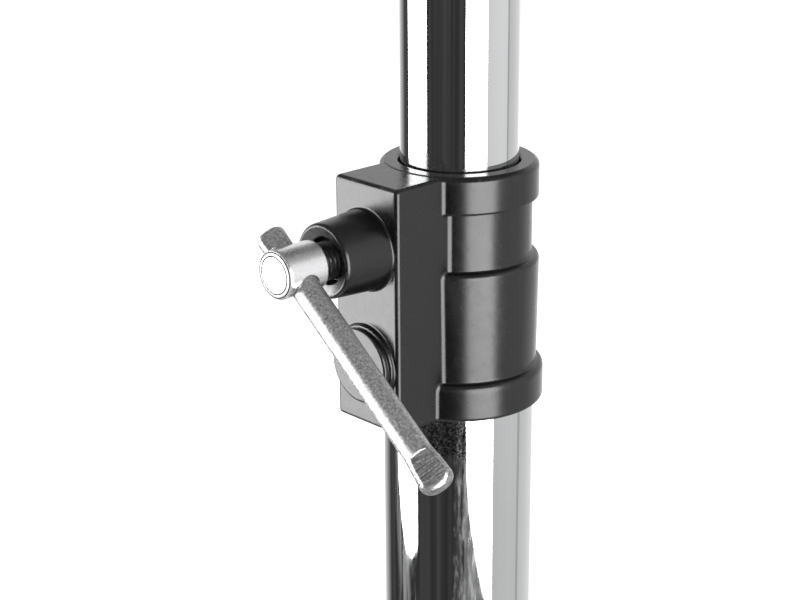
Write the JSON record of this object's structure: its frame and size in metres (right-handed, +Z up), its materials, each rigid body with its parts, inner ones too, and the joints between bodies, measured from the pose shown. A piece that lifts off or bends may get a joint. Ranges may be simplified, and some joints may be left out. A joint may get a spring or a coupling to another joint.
{
  "type": "lighting t-bar stand",
  "caption": "Folding tripod lighting stand: telescopic chromed mast with a screw clamp, and a swivelling T-bar drilled for lamps.",
  "frame": {"origin": "on the floor, under the axis of the mast", "axes": "+Z up along the mast; X along the T-bar, with leg 1 towards +X; the mast clamp's screw faces -Y"},
  "size_m": [1.206, 1.0266, 1.4996],
  "materials": {
    "chrome_tube": "mirror chrome plating on steel tube",
    "chrome_leg": "bright chrome plating on steel",
    "black_casting": "satin black coated aluminium casting",
    "black_steel": "satin black powder coat on steel",
    "black_plastic": "moulded, matt",
    "black_rubber": "matt rubber",
    "zinc_fastener": "zinc plated",
    "brass_pad": "machined",
    "plated_screw": "bright nickel plated turned steel",
    "plated_bar": "bright plated, finely speckled"
  },
  "bodies": {
    "mast": {"lower_tube": "chrome_tube", "clamp_collar": "black_casting", "collar_bush": "black_plastic", "base_hub": "black_casting", "tube_plug": "black_plastic", "hub_bolts": "zinc_fastener", "hub_nuts": "zinc_fastener"},
    "clamp_pad": {"clamp_pad": "brass_pad"},
    "clamp_screw": {"clamp_screw": "plated_screw"},
    "clamp_bar": {"clamp_bar": "plated_bar"},
    "upper_mast": {"upper_tube": "chrome_tube", "guide_bush": "black_plastic", "tube_cap": "black_plastic"},
    "tbar": {"tbar_socket": "black_steel", "crossbar": "black_steel", "tbar_end_caps": "black_plastic", "tbar_bolts": "zinc_fastener", "tbar_nuts": "zinc_fastener"},
    "tbar_pad": {"tbar_pad": "brass_pad"},
    "tbar_screw": {"tbar_screw": "plated_screw"},
    "tbar_handle": {"tbar_handle": "plated_bar"},
    "leg_collar": {"leg_collar": "black_casting", "collar_liner": "black_plastic", "collar_bolts": "zinc_fastener", "collar_nuts": "zinc_fastener"},
    "leg_pad": {"leg_pad": "brass_pad"},
    "leg_screw": {"leg_screw": "plated_screw"},
    "leg_bar": {"leg_bar": "plated_bar"},
    "brace_1": {"brace_1": "chrome_leg"},
    "leg_1": {"leg_1": "chrome_leg", "knuckle_1": "black_plastic", "foot_1": "black_rubber", "leg_bolt_1": "zinc_fastener"},
    "brace_2": {"brace_2": "chrome_leg"},
    "leg_2": {"leg_2": "chrome_leg", "knuckle_2": "black_plastic", "foot_2": "black_rubber", "leg_bolt_2": "zinc_fastener"},
    "brace_3": {"brace_3": "chrome_leg"},
    "leg_3": {"leg_3": "chrome_leg", "knuckle_3": "black_plastic", "foot_3": "black_rubber", "leg_bolt_3": "zinc_fastener"}
  },
  "joints": [
    {"name": "mast_slide", "type": "slide", "parent": "mast", "child": "upper_mast", "axis": [0, 0, 1], "range_m": [-0.2215, 0.6865]},
    {"name": "tbar_swivel", "type": "hinge", "parent": "upper_mast", "child": "tbar", "pos_m": [0, 0, 1.42436], "axis": [0, 0, 1], "continuous": true},
    {"name": "clamp_pad_push", "type": "slide", "parent": "mast", "child": "clamp_pad", "axis": [0, -1, 0], "range_m": [0, 0.0035]},
    {"name": "clamp_screw_turn", "type": "hinge", "parent": "clamp_pad", "child": "clamp_screw", "pos_m": [0, -0.07, 1.10276], "axis": [0, -1, 0], "range_deg": [0, 720]},
    {"name": "clamp_bar_slide", "type": "slide", "parent": "clamp_screw", "child": "clamp_bar", "axis": [-0.7815, 0, 0.6239], "range_m": [0, 0.0614]},
    {"name": "tbar_pad_push", "type": "slide", "parent": "tbar", "child": "tbar_pad", "axis": [0, -1, 0], "range_m": [0, 0.0035]},
    {"name": "tbar_screw_turn", "type": "hinge", "parent": "tbar_pad", "child": "tbar_screw", "pos_m": [0, -0.0491, 1.42436], "axis": [0, -1, 0], "range_deg": [0, 720]},
    {"name": "tbar_bar_slide", "type": "slide", "parent": "tbar_screw", "child": "tbar_handle", "axis": [-0.7815, 0, 0.6239], "range_m": [0, 0.0614]},
    {"name": "leg_pad_push", "type": "slide", "parent": "leg_collar", "child": "leg_pad", "axis": [0.5, -0.866, 0], "range_m": [0, 0.0035]},
    {"name": "leg_screw_turn", "type": "hinge", "parent": "leg_pad", "child": "leg_screw", "pos_m": [0.03105, -0.05378, 0.43309], "axis": [0.5, -0.866, 0], "range_deg": [0, 720]},
    {"name": "leg_bar_slide", "type": "slide", "parent": "leg_screw", "child": "leg_bar", "axis": [-0.6768, -0.3908, 0.6239], "range_m": [0, 0.0614]},
    {"name": "fold", "type": "hinge", "parent": "mast", "child": "brace_1", "pos_m": [0.046, 0, 0.07536], "axis": [0, -1, 0], "range_deg": [0, 51]},
    {"name": "leg_1_fold", "type": "hinge", "parent": "brace_1", "child": "leg_1", "pos_m": [0.26717, 0, 0.23022], "axis": [0, -1, 0], "range_deg": [-102, 0]},
    {"name": "brace_2_fold", "type": "hinge", "parent": "mast", "child": "brace_2", "pos_m": [-0.023, 0.03984, 0.07536], "axis": [0.866, 0.5, 0], "range_deg": [0, 51]},
    {"name": "leg_2_fold", "type": "hinge", "parent": "brace_2", "child": "leg_2", "pos_m": [-0.13359, 0.23138, 0.23022], "axis": [0.866, 0.5, 0], "range_deg": [-102, 0]},
    {"name": "brace_3_fold", "type": "hinge", "parent": "mast", "child": "brace_3", "pos_m": [-0.023, -0.03984, 0.07536], "axis": [-0.866, 0.5, 0], "range_deg": [0, 51]},
    {"name": "leg_3_fold", "type": "hinge", "parent": "brace_3", "child": "leg_3", "pos_m": [-0.13359, -0.23138, 0.23022], "axis": [-0.866, 0.5, 0], "range_deg": [-102, 0]},
    {"name": "collar_fold", "type": "hinge", "parent": "leg_1", "child": "leg_collar", "pos_m": [0.046, 0, 0.38509], "axis": [0, -1, 0], "range_deg": [0, 51]}
  ],
  "couplings": [
    {"joint": "clamp_screw_turn", "follows": "clamp_pad_push", "rad_per_m": 3590.4},
    {"joint": "tbar_screw_turn", "follows": "tbar_pad_push", "rad_per_m": 3590.4},
    {"joint": "leg_screw_turn", "follows": "leg_pad_push", "rad_per_m": 3590.4},
    {"joint": "leg_1_fold", "follows": "fold", "ratio": -2},
    {"joint": "brace_2_fold", "follows": "fold", "ratio": 1},
    {"joint": "leg_2_fold", "follows": "fold", "ratio": -2},
    {"joint": "brace_3_fold", "follows": "fold", "ratio": 1},
    {"joint": "leg_3_fold", "follows": "fold", "ratio": -2},
    {"joint": "collar_fold", "follows": "fold", "ratio": 1}
  ]
}
